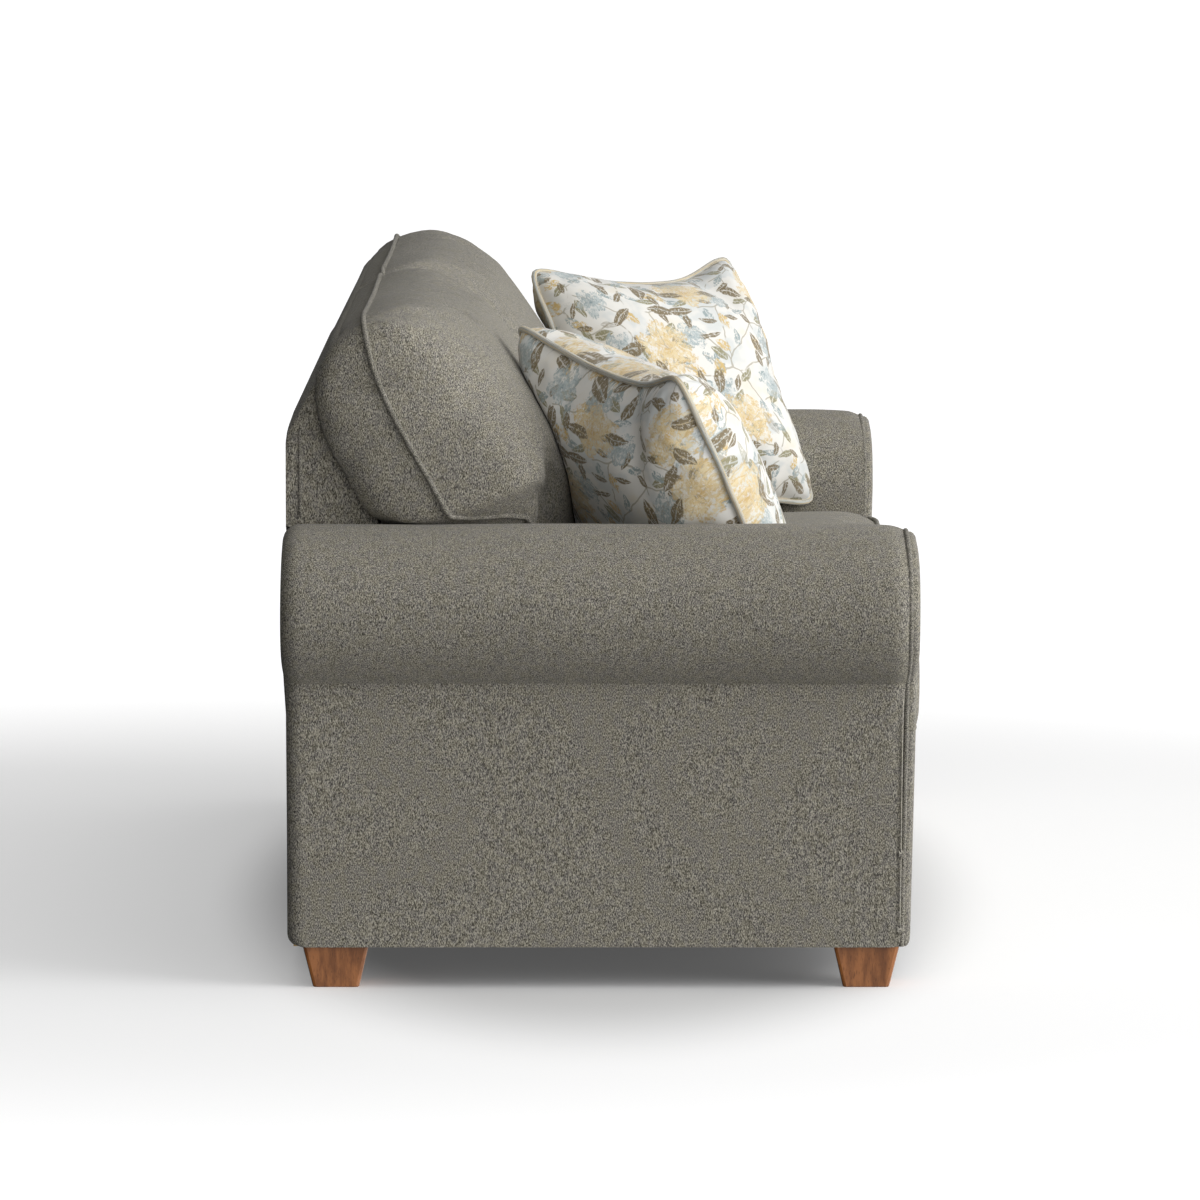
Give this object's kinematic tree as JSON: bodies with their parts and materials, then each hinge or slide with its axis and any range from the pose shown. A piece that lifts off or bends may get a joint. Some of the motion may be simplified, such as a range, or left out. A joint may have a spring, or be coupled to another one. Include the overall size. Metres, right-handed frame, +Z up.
{
  "type": "roll arm sofa",
  "caption": "Upholstered roll arm sofa with loose seat cushions, eared back cushions, throw pillows and tapered block feet.",
  "frame": {"origin": "on the floor under the middle of the sofa's box", "axes": "+X along the length, towards the arm at the right as seen from the front; -Y towards the front; +Z up"},
  "size_m": [2.2296, 0.9313, 0.9968],
  "materials": {
    "cloth": "grey taupe tweed weave",
    "welt_cloth": "grey taupe tweed over cord",
    "pillow_cloth": "printed linen weave",
    "padding": "platform cloth over foam",
    "lining": "black dust cover cloth",
    "frame_wood": "raw kiln-dried hardwood",
    "foot_wood": "stained and satin varnished hardwood",
    "spring_steel": "drawn spring wire"
  },
  "bodies": {
    "sofa_frame": {"arm_left": "cloth", "arm_right": "cloth", "arm_facing_left": "cloth", "arm_facing_right": "cloth", "arm_welt_left": "welt_cloth", "arm_welt_right": "welt_cloth", "front_rail": "frame_wood", "rear_rail": "frame_wood", "side_rail_left": "frame_wood", "side_rail_right": "frame_wood", "centre_stretcher": "frame_wood", "corner_block_front_left": "frame_wood", "corner_block_front_right": "frame_wood", "corner_block_rear_left": "frame_wood", "corner_block_rear_right": "frame_wood", "foot_front_left": "foot_wood", "foot_front_right": "foot_wood", "foot_rear_left": "foot_wood", "foot_rear_right": "foot_wood", "foot_bolt_front_left": "spring_steel", "foot_bolt_front_right": "spring_steel", "foot_bolt_rear_left": "spring_steel", "foot_bolt_rear_right": "spring_steel", "arm_front_board_left": "frame_wood", "arm_front_board_right": "frame_wood", "arm_rear_board_left": "frame_wood", "arm_rear_board_right": "frame_wood", "arm_top_board_left": "frame_wood", "arm_top_board_right": "frame_wood", "arm_tack_rail_left": "frame_wood", "arm_tack_rail_right": "frame_wood", "front_border": "cloth", "seat_deck": "padding", "seat_spring_1": "spring_steel", "seat_spring_2": "spring_steel", "seat_spring_3": "spring_steel", "seat_spring_4": "spring_steel", "seat_spring_5": "spring_steel", "seat_spring_6": "spring_steel", "seat_spring_7": "spring_steel", "seat_spring_8": "spring_steel", "outside_back": "cloth", "inside_back": "cloth", "back_end_panel_left": "cloth", "back_end_panel_right": "cloth", "back_post_left": "frame_wood", "back_post_centre": "frame_wood", "back_post_right": "frame_wood", "back_top_rail": "frame_wood", "dust_cover": "lining"},
    "seat_cushion_left": {"seat_cushion_left": "cloth"},
    "seat_cushion_right": {"seat_cushion_right": "cloth"},
    "back_cushion_left": {"back_cushion_left": "cloth"},
    "back_cushion_right": {"back_cushion_right": "cloth"},
    "throw_pillow_left": {"throw_pillow_left": "pillow_cloth"},
    "throw_pillow_right": {"throw_pillow_right": "pillow_cloth"}
  },
  "joints": [
    {"name": "seat_left_pull_out", "type": "slide", "parent": "sofa_frame", "child": "seat_cushion_left", "axis": [0, -1, 0], "range_m": [0, 0.8]},
    {"name": "seat_right_pull_out", "type": "slide", "parent": "sofa_frame", "child": "seat_cushion_right", "axis": [0, -1, 0], "range_m": [0, 0.8]},
    {"name": "back_left_lift_off", "type": "slide", "parent": "sofa_frame", "child": "back_cushion_left", "axis": [0, 0, 1], "range_m": [0, 0.5]},
    {"name": "back_right_lift_off", "type": "slide", "parent": "sofa_frame", "child": "back_cushion_right", "axis": [0, 0, 1], "range_m": [0, 0.5]},
    {"name": "pillow_left_lift_off", "type": "slide", "parent": "back_cushion_left", "child": "throw_pillow_left", "axis": [0, 0, 1], "range_m": [0, 0.5]},
    {"name": "pillow_right_lift_off", "type": "slide", "parent": "back_cushion_right", "child": "throw_pillow_right", "axis": [0, 0, 1], "range_m": [0, 0.5]}
  ]
}
